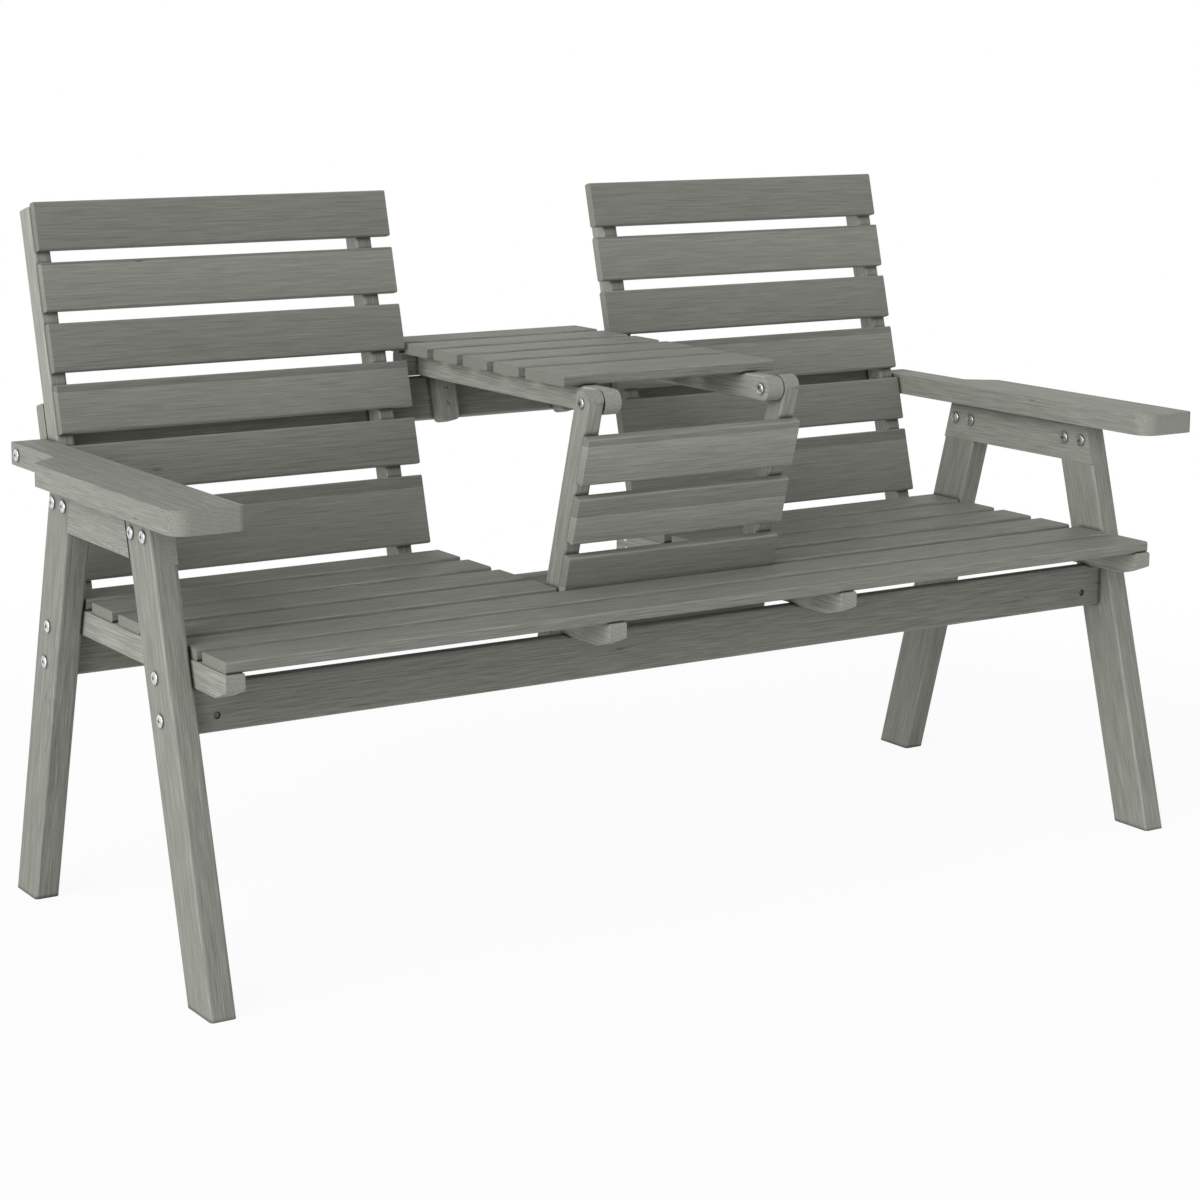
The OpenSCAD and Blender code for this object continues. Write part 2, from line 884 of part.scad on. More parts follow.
// Four bolts into the stretchers and, of the same length, one through each armrest's tail
module stretcher_bolts() {
  placed()
    color(steel_colour)
      both_sides() {
        for (y = [front_stretcher_y, rear_stretcher_y])
          bolt_in(leg_out, y, stretcher_bolt_z, long_bolt_l, bolt_head_d, bolt_head_h);
        bolt_in(arm_tail_out, stile_y(tail_bolt_z), tail_bolt_z, long_bolt_l,
                bolt_head_d, bolt_head_h);
      }
}

module hex_nuts() {
  placed()
    color(steel_colour)
      both_sides() {
        for (y = [front_leg_y(rail_bolt_z), rear_leg_y(rail_bolt_z)])
          translate([end_rail_in - nut_h, y, rail_bolt_z])
            rotate([0, 90, 0])
              hex_nut();
        translate([end_rail_in - bar_w - nut_h, stile_y(tail_bolt_z), tail_bolt_z])
          rotate([0, 90, 0])
            hex_nut();
        translate([panel_in - rest_gap - nut_h, pivot_y, pivot_z])
          rotate([0, 90, 0])
            hex_nut();
      }
}

module barrel_nuts() {
  placed()
    color(steel_colour)
      both_sides()
        difference() {
          at_barrel_nuts()
            translate([0, 0, 2])
              cylinder(h = barrel_l, d = barrel_d);
          leg_bolt_holes();
        }
}

module arm_bolts() {
  placed()
    color(steel_colour)
      both_sides()
        at_arm_bolts()
          bolt_in(leg_out, 0, 0, arm_bolt_l, bolt_head_d, bolt_head_h);
}

module sleeve_nuts() {
  placed()
    color(steel_colour)
      both_sides()
        at_arm_bolts()
          translate([leg_in, 0, 0])
            rotate([0, -90, 0]) {
              pan_head(bolt_head_d, bolt_head_h);
              translate([0, 0, -sleeve_l])
                difference() {
                  cylinder(h = sleeve_l, d = sleeve_d);
                  translate([0, 0, -cut])
                    cylinder(h = sleeve_l - 2 + cut, d = bolt_d + 2 * fit);
                }
            }
}

module arm_dowels() {
  placed()
    color(dowel_colour)
      both_sides()
        at_dowels()
          dowel(dowel_d);
}

module slat_screws() {
  placed()
    color(steel_colour)
      both_sides() {
        for (i = [0 : seat_rows - 1])
          at_seat_rail_screws(i)
            slat_screw();
        back_frame()
          for (i = [0 : back_rows - 1])
            at_back_screws(i)
              slat_screw();
      }
}

module frame_screws() {
  placed()
    color(steel_colour)
      both_sides() {
        at_stretcher_screws()
          frame_screw(stretcher_bore_h);
        at_stile_screws()
          frame_screw(screw_head_h);
        back_frame() {
          at_cross_screws()
            frame_screw(screw_head_h);
          at_block_screws()
            frame_screw(screw_head_h);
        }
      }
}

module lower_pivot_bolts() {
  placed()
    color(steel_colour)
      both_sides()
        bolt_in(middle_rail_out, pivot_y, pivot_z, lower_bolt_l, pivot_head_d, bolt_head_h);
}

// Washer along X on the inner side of x
module washer_x(x, y, z, t) {
  difference() {
    rod_x(x - t, x, y, z, washer_d);
    rod_x(x - t - cut, x + cut, y, z, bolt_d + 2 * fit);
  }
}

module lower_pivot_spacers() {
  placed()
    color(steel_colour)
      both_sides()
        washer_x(bay, pivot_y, pivot_z, lower_spacer_t);
}

// Side outline of a panel stile in the panel's frame, round at its upper end
module stile_outline() {
  translate([upper_off, pivot_span])
    circle(d = bar_h);
  polygon([
    [panel_back, pivot_span],
    [panel_face + slat_t, pivot_span],
    each fillet([panel_face + slat_t, pivot_span], [panel_face + slat_t, -panel_tail],
                [panel_back, -panel_tail], bar_ease),
    each fillet([panel_face + slat_t, -panel_tail], [panel_back, -panel_tail],
                [panel_back, pivot_span], bar_ease * 2)
  ]);
}

module panel_stile(side) {
  placed()
    on_side(side)
      color(bar_colour)
        difference() {
          panel_frame()
            difference() {
              intersection() {
                beam_z([panel_in, panel_face + slat_t, -panel_tail],
                       [panel_out, panel_back, pivot_span + bar_h], bar_ease);
                translate([panel_in - cut, 0, 0])
                  rotate([90, 0, 90])
                    linear_extrude(height = bar_w + 2 * cut)
                      stile_outline();
              }
              for (i = [0 : panel_rows - 1])
                at_panel_screws(i)
                  slat_screw_hole();
            }
          rod_x(panel_in - cut, panel_out + cut, pivot_y, pivot_z, bolt_d + 2 * fit);
          rod_x(panel_in - cut, panel_out + cut, upper_y, upper_z, bolt_d + 2 * fit);
        }
}

module panel_slat(i) {
  placed()
    color(slat_colour)
      panel_frame()
        difference() {
          beam_x([-panel_out, panel_face, panel_row(i)],
                 [panel_out, panel_face + slat_t, panel_row(i) + slat_w], slat_ease);
          both_sides()
            at_panel_screws(i)
              slat_screw_hole();
        }
}

module panel_screws() {
  placed()
    color(steel_colour)
      panel_frame()
        both_sides()
          for (i = [0 : panel_rows - 1])
            at_panel_screws(i)
              slat_screw();
}

module upper_pivot_bolts() {
  placed()
    color(steel_colour)
      both_sides()
        bolt_in(panel_out, upper_y, upper_z, upper_bolt_l, pivot_head_d, pivot_head_h);
}

// Cap nut on the table rail's inner side, clear of the rail
module upper_pivot_caps() {
  x = table_rail_in - rest_gap;
  placed()
    color(steel_colour)
      both_sides()
        difference() {
          translate([x, upper_y, upper_z])
            rotate([0, -90, 0])
              pan_head(pivot_head_d, upper_cap_h);
          rod_x(x + cut, x - pivot_head_h - fit, upper_y, upper_z, bolt_d + 2 * fit);
        }
}

module upper_pivot_washers() {
  placed()
    color(steel_colour)
      both_sides()
        washer_x(panel_in - (table_side_gap - upper_washer_t) / 2, upper_y, upper_z,
                 upper_washer_t);
}

// Side outline of a table rail, round at its front end
module table_rail_outline() {
  translate([upper_y, upper_z])
    circle(d = bar_h);
  translate([upper_y, table_under])
    square([table_rail_rear - upper_y, bar_h]);
}

module table_rail(side) {
  placed()
    on_side(side)
      color(bar_colour)
        difference() {
          intersection() {
            beam_y([table_rail_in, upper_y - bar_h, table_under],
                   [table_rail_out, table_rail_rear, table_rail_top], bar_ease);
            translate([table_rail_in - cut, 0, 0])
              rotate([90, 0, 90])
                linear_extrude(height = bar_w + 2 * cut)
                  table_rail_outline();
          }
          for (i = [0 : back_rows - 1])
            at_table_screws(i)
              slat_screw_hole();
          rod_x(table_rail_in - cut, table_rail_out + cut, upper_y, upper_z, bolt_d + 2 * fit);
          translate([table_rail_in - cut, batten_y, table_under - cut])
            cube([bar_w + 2 * cut, bar_w, bar_h / 2 + cut]);
        }
}

// The batten crosses the rails in a half lap and overhangs them on both sides
module table_batten() {
  placed()
    color(bar_colour)
      difference() {
        beam_x([-panel_out, batten_y, table_under],
               [panel_out, batten_y + bar_w, table_rail_top], slat_ease);
        both_sides() {
          translate([table_rail_in, batten_y - cut, upper_z])
            cube([bar_w, bar_w + 2 * cut, bar_h / 2 + cut]);
          at_batten_screws()
            slat_screw_hole();
        }
      }
}

module table_slat(i) {
  placed()
    color(slat_colour)
      difference() {
        beam_x([-panel_out, table_row(i), table_rail_top],
               [panel_out, table_row(i) + table_row_w(i), table_rail_top + slat_t], slat_ease);
        both_sides() {
          at_table_screws(i)
            slat_screw_hole();
          if (i == back_rows - 1)
            at_batten_screws()
              slat_screw_hole();
        }
      }
}

module table_screws() {
  placed()
    color(steel_colour)
      both_sides() {
        for (i = [0 : back_rows - 1])
          at_table_screws(i)
            slat_screw();
        at_batten_screws()
          slat_screw();
      }
}

front_leg(-1);  // front_leg_left
front_leg(1);  // front_leg_right
rear_leg(-1);  // rear_leg_left
rear_leg(1);  // rear_leg_right
arm_support(-1);  // arm_support_left
arm_support(1);  // arm_support_right
armrest(-1);  // armrest_left
armrest(1);  // armrest_right
stretcher(front_stretcher_y);  // front_stretcher
stretcher(rear_stretcher_y);  // rear_stretcher
seat_rail(-1, end_rail_in);  // seat_rail_end_left
seat_rail(-1, bay);  // seat_rail_middle_left
seat_rail(1, bay);  // seat_rail_middle_right
seat_rail(1, end_rail_in);  // seat_rail_end_right
seat_slat_row(0);  // seat_slat_front
seat_slat_row(1);  // seat_slat_second
seat_slat_row(2);  // seat_slat_row_3
seat_slat_row(3);  // seat_slat_row_4
seat_slat_row(4);  // seat_slat_row_5
seat_slat_row(5);  // seat_slat_row_6
back_stiles();
back_slat_row(0);  // back_slat_row_1
back_slat_row(1);  // back_slat_row_2
back_slat_row(2);  // back_slat_row_3
back_slat_row(3);  // back_slat_row_4
back_slat_row(4);  // back_slat_row_5
back_slat_row(5);  // back_slat_row_6
back_cross_rail();
rest_blocks();
rail_bolts();
stretcher_bolts();
hex_nuts();
barrel_nuts();
arm_bolts();
sleeve_nuts();
arm_dowels();
slat_screws();
frame_screws();
lower_pivot_bolts();
lower_pivot_spacers();
panel_stile(-1);  // panel_stile_left
panel_stile(1);  // panel_stile_right
panel_slat(0);  // panel_slat_1
panel_slat(1);  // panel_slat_2
panel_slat(2);  // panel_slat_3
panel_slat(3);  // panel_slat_4
panel_screws();
upper_pivot_bolts();
upper_pivot_caps();
upper_pivot_washers();
table_rail(-1);  // table_rail_left
table_rail(1);  // table_rail_right
table_slat(0);  // table_slat_1
table_slat(1);  // table_slat_2
table_slat(2);  // table_slat_3
table_slat(3);  // table_slat_4
table_slat(4);  // table_slat_5
table_slat(5);  // table_slat_6
table_batten();
table_screws();
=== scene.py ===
"""Looks, light and camera of the convertible garden bench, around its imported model."""
import math

import bpy
from mathutils import Matrix, Vector

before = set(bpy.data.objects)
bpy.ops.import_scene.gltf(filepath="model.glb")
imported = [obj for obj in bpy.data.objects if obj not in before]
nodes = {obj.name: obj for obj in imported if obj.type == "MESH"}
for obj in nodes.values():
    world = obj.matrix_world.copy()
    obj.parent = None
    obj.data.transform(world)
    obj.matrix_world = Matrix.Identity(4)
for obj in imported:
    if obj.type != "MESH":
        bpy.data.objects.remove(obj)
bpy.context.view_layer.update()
scene = bpy.context.scene


def linear(red, green, blue):
    """A colour written as it looks on screen, 0 to 255, as scene-linear RGBA."""
    def channel(value):
        value = value / 255
        return value / 12.92 if value <= 0.04045 else ((value + 0.055) / 1.055) ** 2.4
    return (channel(red), channel(green), channel(blue), 1.0)


def grey(level):
    """A scene-linear grey as RGBA."""
    return (level, level, level, 1.0)


# Leans of the boards, from upright
LEG_LEAN = math.radians(15.0)
REAR_LEG_LEAN = math.radians(15.6)
BACK_LEAN = math.radians(14.7)
PANEL_LEAN = math.radians(15.9)

# Directions along the boards
ALONG_X = (1, 0, 0)
ALONG_Y = (0, 1, 0)
ALONG_Z = (0, 0, 1)
FRONT_LEG = (0, math.sin(LEG_LEAN), math.cos(LEG_LEAN))
REAR_LEG = (0, -math.sin(REAR_LEG_LEAN), math.cos(REAR_LEG_LEAN))
STILE = (0, math.sin(BACK_LEAN), math.cos(BACK_LEAN))
PANEL_STILE = (0, -math.sin(PANEL_LEAN), math.cos(PANEL_LEAN))

# Directions of a board's flat faces, from which its eased edges follow, where a highlight is
# painted
BY_SIDES = [ALONG_X]
BY_TOP = [ALONG_Z]
SQUARE = [ALONG_X, ALONG_Y, ALONG_Z]
BACK_FACES = [ALONG_X, STILE, (0, math.cos(BACK_LEAN), -math.sin(BACK_LEAN))]
PANEL_FACES = [ALONG_X, PANEL_STILE, (0, math.cos(PANEL_LEAN), math.sin(PANEL_LEAN))]

# The wide slats' tone climbs with height between lines and drops back at each: first line's
# height, spacing, low and high tone
BACK_BANDS = (0.5155, 0.166, -0.12, 0.09)
PANEL_BANDS = (0.5296, 0.0975, -0.13, 0.09)
BAND_LINE_WIDTH = 0.0006
BAND_LINE_TONE = 0.1

# The stain's colours, for the tones 0, 0.5 and 1, and in flecks, and the painted shade in joints
# and crevices
WOOD_DARK = linear(82, 83, 76)
WOOD_MID = linear(133, 134, 126)
WOOD_LIGHT = linear(178, 179, 171)
WOOD_FLECK = linear(58, 57, 50)
WOOD_PAINTED_SHADE = linear(34, 34, 30)

# Cells of the wood's patterns per metre, along and across the grain
FIBRE_CELLS = (17, 640, 640)
LINE_CELLS = (13, 420, 420)
STREAK_CELLS = (4.5, 170, 170)
BOARD_CELLS = (0.7, 11, 11)
PATCH_CELLS = (4.5, 16, 16)
KNOT_CELLS = (2.4, 15, 15)
FLECK_CELLS = (7, 42, 42)
PORE_CELLS = 620

# The board's growth rings: place and tilt of the heart, and how its rings run
HEART_SHIFT = (0, 0.061, 0.043)
HEART_TILT = (0, 0.021, 0.034)
HEART_STRETCH = (0.16, 1, 1)
RING_CELLS = 62.0
RING_WOBBLE = {"Distortion": 6.0, "Detail": 2.0, "Detail Scale": 5.0, "Detail Roughness": 0.55}

# Knots and flecks sit in the cells whose own random value is above these
KNOT_ABOVE = 0.62
FLECK_ABOVE = 0.84
KNOT_RINGS = 150.0
KNOT_WARP = 9.0

# Where each pattern starts and is full: in its own noise, wave or distance from a cell's centre,
# in how squarely a surface faces along the grain or out of the board, and in how open a place is
GROOVE_RANGE = (0.57, 0.7)
LATE_RANGE = (0.6, 1.0)
KNOT_RANGE = (0.05, 0.26)
FLECK_RANGE = (0.035, 0.075)
END_RANGE = (0.55, 0.8)
# The eased edges' mask, the patches of their painted highlight, and where that highlight is left
# out in shade
EDGE_RANGE = (0.95, 0.85)
HIGHLIGHT_PATCH_RANGE = (0.3, 0.6)
HIGHLIGHT_PATCH_SHARES = (0.4, 1.0)
OPEN_RANGE = (0.8, 0.97)
PAINTED_SHADE_RANGE = (0.95, 0.55)

# How much each pattern shifts the tone
FIBRE_TONE = 0.95
STREAK_TONE = 0.14
LATE_TONE = -0.05
GROOVE_TONE = -0.15
KNOT_TONE = 0.09
BOARD_TONE = 0.1
PATCH_TONE = 0.08
# Painted highlight on the eased edges
EDGE_HIGHLIGHT_TONE = 0.13
END_TONE = -0.17
END_PORE_TONE = 0.36
END_LATE_TONE = -0.13

# How much of the darker colours shows in flecks and as painted shade in joints and crevices, and
# how far that painted shade reaches
FLECK_SHARE = 0.6
PAINTED_SHADE_SHARE = 0.8
PAINTED_SHADE_REACH = 0.006
OCCLUSION_SAMPLES = 4

# The wood's relief and gloss
GROOVE_RELIEF = -0.5
FLECK_RELIEF = -0.6
WOOD_RELIEF = {"Strength": 0.5, "Distance": 0.0004}
WOOD_GRAIN_RANGE = (0.7, 1.3)
WOOD_ROUGHNESS = (0.68, 0.52)
WOOD_SPECULAR = 0.28

# Each board's material is placed elsewhere in the patterns, by its seed times these
SEED_STEPS = (0.37, 0.113, 0.071)

# Zinc-plated steel, with painted shade in its recesses and a much darker, shaded copy for the
# barrel nuts
STEEL_LEVEL = 1.05
SHADED_STEEL_LEVEL = 0.12
STEEL_DARK = 0.5
STEEL_LIGHT = 0.8
STEEL_PAINTED_SHADE = linear(40, 40, 38)
CLOUD_CELLS = 160
CLOUD_RANGE = (0.3, 0.7)
GRIT_CELLS = 1500
STEEL_SHADE_REACH = 0.003
STEEL_SHADE_RANGE = (0.9, 0.45)
STEEL_SHADE_SHARE = 0.9
STEEL_RELIEF = {"Strength": 0.2, "Distance": 0.0001}
STEEL_ROUGHNESS = (0.22, 0.38)

# The boards' eased edges: their width, and the least angle of an edge that is eased
EASE_WIDTH = 0.0009
EASE_ANGLE = math.radians(40)
EASE_SEGMENTS = 2
FLAT_ANGLE = math.radians(0.5)
WELD_DISTANCE = 1e-6

# Floor: its tones, and where the shade that it shows the camera fades out round the bench
FLOOR_RADIUS = 14.0
FLOOR_SIDES = 96
FLOOR_CELLS = 30
FLOOR_RANGE = (0.3, 0.7)
FLOOR_DARK = grey(0.91)
FLOOR_LIGHT = grey(0.94)
FLOOR_SEEN = grey(0.93)
FADE_RANGE = (1.2, 2.2)
FADE_SHARE = 0.07

# Light
WHITE = grey(1.0)
WORLD_LIGHT = 0.5
KEY_TOWARD = (-0.87, -0.33, 0.36)
KEY_STRENGTH = 0.85
KEY_ANGLE = math.radians(60)
KEY_DISTANCE = 3

# Camera
CAMERA_PLACE = (-2.0815, -3.2248, 1.1682)
CAMERA_YAW = math.radians(32.444)
CAMERA_PITCH = math.radians(9.519)
CAMERA_ROLL = math.radians(0.147)
CAMERA_SENSOR = 36.0
CAMERA_LENS = 83.382
CAMERA_SHIFT = (0.0163, -0.0928)

# Looks of the boards: grain, seed, tone, strength of the grain, bands and flat faces, then nodes
# The groups' tones partly paint light and shade; the stretchers, in shade under the seat, are the
# darkest
DOWEL_LOOK = (ALONG_Z, 43, 0.2, 1.0, None, BY_TOP)
WOODS = {
    "wood_stretchers": (ALONG_X, 3, -0.13, 0.8, None, SQUARE,
                        ["front_stretcher", "rear_stretcher", "table_batten"]),
    "wood_cross_rail": (ALONG_X, 13, 0.02, 0.8, None, BACK_FACES,
                        ["back_cross_rail"]),
    "wood_seat": (ALONG_X, 7, -0.08, 0.75, None, SQUARE,
                  ["seat_slat_front", "seat_slat_second", "seat_slat_row_3", "seat_slat_row_4",
                   "seat_slat_row_5", "seat_slat_row_6"]),
    "wood_table": (ALONG_X, 11, -0.09, 0.85, None, SQUARE,
                   ["table_slat_%d" % i for i in range(1, 7)]),
    "wood_back": (ALONG_X, 5, -0.07, 0.55, BACK_BANDS, BACK_FACES,
                  ["back_slat_row_%d" % i for i in range(1, 7)]),
    "wood_panel": (ALONG_X, 17, 0.05, 0.6, PANEL_BANDS, PANEL_FACES,
                   ["panel_slat_%d" % i for i in range(1, 5)]),
    "wood_rails": (ALONG_Y, 19, 0.1, 1.0, None, BY_SIDES,
                   ["seat_rail_end_left", "seat_rail_middle_left", "seat_rail_middle_right",
                    "seat_rail_end_right", "table_rail_left", "table_rail_right"]),
    "wood_arms": (ALONG_Y, 23, 0.02, 0.75, None, BY_TOP,
                  ["armrest_left", "armrest_right"]),
    "wood_arm_boards": (ALONG_Y, 27, 0.06, 0.8, None, BY_SIDES,
                        ["arm_support_left", "arm_support_right"]),
    "wood_front_legs": (FRONT_LEG, 29, 0.0, 0.85, None, BY_SIDES,
                        ["front_leg_left", "front_leg_right"]),
    "wood_rear_legs": (REAR_LEG, 31, -0.07, 0.85, None, BY_SIDES,
                       ["rear_leg_left", "rear_leg_right"]),
    "wood_stiles": (STILE, 37, 0.12, 0.85, None, BY_SIDES,
                    ["back_stiles"]),
    "wood_blocks": (STILE, 39, 0.02, 0.85, None, BY_SIDES,
                    ["rest_blocks"]),
    "wood_panel_stiles": (PANEL_STILE, 41, 0.06, 0.85, None, BY_SIDES,
                          ["panel_stile_left", "panel_stile_right"]),
}


class Graph:
    """A material's or world's node tree, with short calls for the nodes used here."""

    def __init__(self, owner):
        owner.use_nodes = True
        self.tree = owner.node_tree
        self.tree.nodes.clear()

    def add(self, kind, inputs=None, **settings):
        node = self.tree.nodes.new("ShaderNode" + kind)
        for key, value in settings.items():
            setattr(node, key, value)
        for key, value in (inputs or {}).items():
            if isinstance(value, bpy.types.NodeSocket):
                self.tree.links.new(value, node.inputs[key])
            else:
                node.inputs[key].default_value = value
        return node

    def math(self, operation, first, second=0.0, third=0.0, clamp=False):
        inputs = {0: first, 1: second, 2: third}
        return self.add("Math", inputs, operation=operation, use_clamp=clamp).outputs[0]

    def dot(self, vector, axis):
        inputs = {0: vector, 1: tuple(axis)}
        return self.add("VectorMath", inputs, operation="DOT_PRODUCT").outputs["Value"]

    def place(self, vector, shift=(0, 0, 0), turn=(0, 0, 0), scale=(1, 1, 1)):
        inputs = {"Vector": vector, "Location": shift, "Rotation": turn, "Scale": scale}
        return self.add("Mapping", inputs).outputs[0]

    def noise(self, vector, scale=1.0, detail=2.0, roughness=0.5, distortion=0.0):
        inputs = {"Vector": vector, "Scale": scale, "Detail": detail,
                  "Roughness": roughness, "Distortion": distortion}
        return self.add("TexNoise", inputs).outputs["Fac"]

    def cells(self, vector):
        return self.add("TexVoronoi", {"Vector": vector, "Scale": 1.0}).outputs

    def occlusion(self, reach):
        inputs = {"Distance": reach}
        return self.add("AmbientOcclusion", inputs, samples=OCCLUSION_SAMPLES).outputs["AO"]

    def remap(self, value, given, wanted=(0.0, 1.0), smooth=False):
        kind = "SMOOTHSTEP" if smooth else "LINEAR"
        inputs = {"Value": value, "From Min": given[0], "From Max": given[1],
                  "To Min": wanted[0], "To Max": wanted[1]}
        return self.add("MapRange", inputs, interpolation_type=kind).outputs[0]

    def ramp(self, value, stops):
        node = self.add("ValToRGB", {"Fac": value})
        elements = node.color_ramp.elements
        while len(elements) > 1:
            elements.remove(elements[-1])
        (elements[0].position, elements[0].color), *others = stops
        for position, colour in others:
            elements.new(position).color = colour
        return node.outputs["Color"]

    def mix(self, factor, first, second):
        return self.add("Mix", {0: factor, 2: first, 3: second}, data_type="FLOAT").outputs[0]

    def blend(self, factor, first, second):
        return self.add("Mix", {0: factor, 6: first, 7: second}, data_type="RGBA").outputs[2]

    def centred(self, value):
        return self.math("SUBTRACT", value, 0.5)


def grain_turn(grain):
    """Euler angles that turn a grain direction in the YZ plane, or X, onto the local X axis."""
    along = Vector(grain).normalized()
    side = Vector(ALONG_Z) if abs(along.x) < 0.5 else Vector(ALONG_Y)
    across = (side - along * side.dot(along)).normalized()
    if across.length < 0.5:
        across = Vector(ALONG_X)
    return Matrix((along, across, along.cross(across))).to_euler("XYZ")


def eased_edge_mask(g, normal, faces):
    """How far a point lies on a board's eased edge, from its normal and its faces' directions."""
    flat = g.math("ABSOLUTE", g.dot(normal, faces[0]))
    if len(faces) == 1:
        rest = g.math("SQRT", g.math("MULTIPLY_ADD", g.math("MULTIPLY", flat, flat), -1.0, 1.0))
        flat = g.math("MAXIMUM", flat, rest)
    for face in faces[1:]:
        flat = g.math("MAXIMUM", flat, g.math("ABSOLUTE", g.dot(normal, face)))
    return g.remap(flat, EDGE_RANGE)


def late_wood(g, local):
    """The dark outer part of each growth ring."""
    heart = g.place(g.place(local, shift=HEART_SHIFT, turn=HEART_TILT), scale=HEART_STRETCH)
    rings = g.add("TexWave", {"Vector": heart, "Scale": RING_CELLS, **RING_WOBBLE},
                  wave_type="RINGS", rings_direction="X", wave_profile="SAW").outputs["Fac"]
    return g.remap(rings, LATE_RANGE, smooth=True)


def knots(g, local, streaks):
    """Rings of a few knots and swirls, from -1 to 1, and 0 away from them."""
    eyes = g.cells(g.place(local, scale=KNOT_CELLS))
    reach = g.remap(eyes["Distance"], KNOT_RANGE, (1.0, 0.0), smooth=True)
    chance = g.math("GREATER_THAN", g.dot(eyes["Color"], (0, 1, 0)), KNOT_ABOVE)
    rings = g.math("SINE", g.math("MULTIPLY_ADD", eyes["Distance"], KNOT_RINGS,
                                  g.math("MULTIPLY", streaks, KNOT_WARP)))
    return g.math("MULTIPLY", g.math("MULTIPLY", reach, chance), rings)


def flecks(g, local):
    """Short dark flecks, as resin pockets leave under the stain."""
    spots = g.cells(g.place(local, scale=FLECK_CELLS))
    core = g.remap(spots["Distance"], FLECK_RANGE, (1.0, 0.0))
    chance = g.math("GREATER_THAN", g.dot(spots["Color"], (1, 0, 0)), FLECK_ABOVE)
    return g.math("MULTIPLY", core, chance)


def band_tones(g, tones, place, bands):
    """Tone that climbs with height between lines and starts again at each, with a thin light line
    there.
    """
    first, period, low, high = bands
    height = g.math("DIVIDE", g.math("SUBTRACT", g.dot(place, ALONG_Z), first), period)
    climb = g.math("FRACT", height)
    band_line = g.math("GREATER_THAN", climb, 1 - BAND_LINE_WIDTH / period)
    tones = g.math("ADD", tones, g.math("MULTIPLY_ADD", climb, high - low, low))
    return g.math("MULTIPLY_ADD", band_line, BAND_LINE_TONE, tones)


def board_material(name, grain, seed, tone, figure, bands, faces):
    """Grey-green stain on softwood: fibres, growth rings, knots, flecks, end grain, a painted
    highlight on the eased edges and painted shade in joints and crevices.

    grain and faces are directions, figure is how strong the grain is, and bands may be None.
    """
    material = bpy.data.materials.new(name)
    g = Graph(material)
    place = g.add("TexCoord").outputs
    local = g.place(place["Object"], shift=tuple(seed * step for step in SEED_STEPS),
                    turn=grain_turn(grain))

    fibres = g.noise(g.place(local, scale=FIBRE_CELLS), roughness=0.6)
    grooves = g.remap(g.noise(g.place(local, scale=LINE_CELLS)), GROOVE_RANGE)
    streaks = g.noise(g.place(local, scale=STREAK_CELLS), detail=3, roughness=0.6, distortion=0.2)
    boards = g.noise(g.place(local, scale=BOARD_CELLS), detail=1)
    patches = g.noise(g.place(local, scale=PATCH_CELLS))
    pores = g.noise(local, scale=PORE_CELLS, roughness=0.7)
    late = late_wood(g, local)
    fleck = flecks(g, local)

    side_tone = g.math("MULTIPLY_ADD", g.centred(streaks), STREAK_TONE,
                       g.math("MULTIPLY", g.centred(fibres), FIBRE_TONE))
    side_tone = g.math("MULTIPLY_ADD", late, LATE_TONE, side_tone)
    side_tone = g.math("MULTIPLY_ADD", grooves, GROOVE_TONE, side_tone)
    side_tone = g.math("MULTIPLY", side_tone, figure)
    side_tone = g.math("MULTIPLY_ADD", knots(g, local, streaks), KNOT_TONE, side_tone)
    end_tone = g.math("MULTIPLY_ADD", pores, END_PORE_TONE, END_TONE)
    end_tone = g.math("MULTIPLY_ADD", late, END_LATE_TONE, end_tone)
    facing = g.math("ABSOLUTE", g.dot(place["Normal"], Vector(grain).normalized()))
    end = g.remap(facing, END_RANGE, smooth=True)
    tones = g.mix(end, side_tone, end_tone)
    tones = g.math("MULTIPLY_ADD", g.centred(boards), BOARD_TONE, tones)
    tones = g.math("MULTIPLY_ADD", g.centred(patches), PATCH_TONE, tones)
    if bands:
        tones = band_tones(g, tones, place["Object"], bands)

    # Occlusion paints shade into the colour in joints and crevices between parts
    openness = g.occlusion(PAINTED_SHADE_REACH)
    # Painted highlight along the eased edges, broken into patches by the streaks and left out in
    # shaded places
    painted_edge_highlight = g.math("MULTIPLY", eased_edge_mask(g, place["Normal"], faces),
                  g.remap(streaks, HIGHLIGHT_PATCH_RANGE, HIGHLIGHT_PATCH_SHARES))
    painted_edge_highlight = g.math("MULTIPLY", painted_edge_highlight, g.remap(openness, OPEN_RANGE))
    tones = g.math("MULTIPLY_ADD", painted_edge_highlight, EDGE_HIGHLIGHT_TONE, tones)
    tones = g.math("ADD", tones, 0.5 + tone, clamp=True)

    colour = g.ramp(tones, [(0.0, WOOD_DARK), (0.5, WOOD_MID), (1.0, WOOD_LIGHT)])
    colour = g.blend(g.math("MULTIPLY", fleck, FLECK_SHARE), colour, WOOD_FLECK)
    colour = g.blend(g.remap(openness, PAINTED_SHADE_RANGE, (0.0, PAINTED_SHADE_SHARE)), colour, WOOD_PAINTED_SHADE)

    relief = g.math("MULTIPLY_ADD", grooves, GROOVE_RELIEF, fibres)
    relief = g.math("MULTIPLY_ADD", fleck, FLECK_RELIEF, relief)
    relief = g.mix(end, relief, pores)
    bump = g.add("Bump", {"Height": relief, **WOOD_RELIEF}).outputs[0]
    rough = g.remap(g.math("ADD", streaks, fibres), WOOD_GRAIN_RANGE, WOOD_ROUGHNESS)

    shader = g.add("BsdfPrincipled", {"Base Color": colour, "Roughness": rough, "Normal": bump,
                                      "Specular IOR Level": WOOD_SPECULAR})
    g.add("OutputMaterial", {"Surface": shader.outputs[0]})
    return material


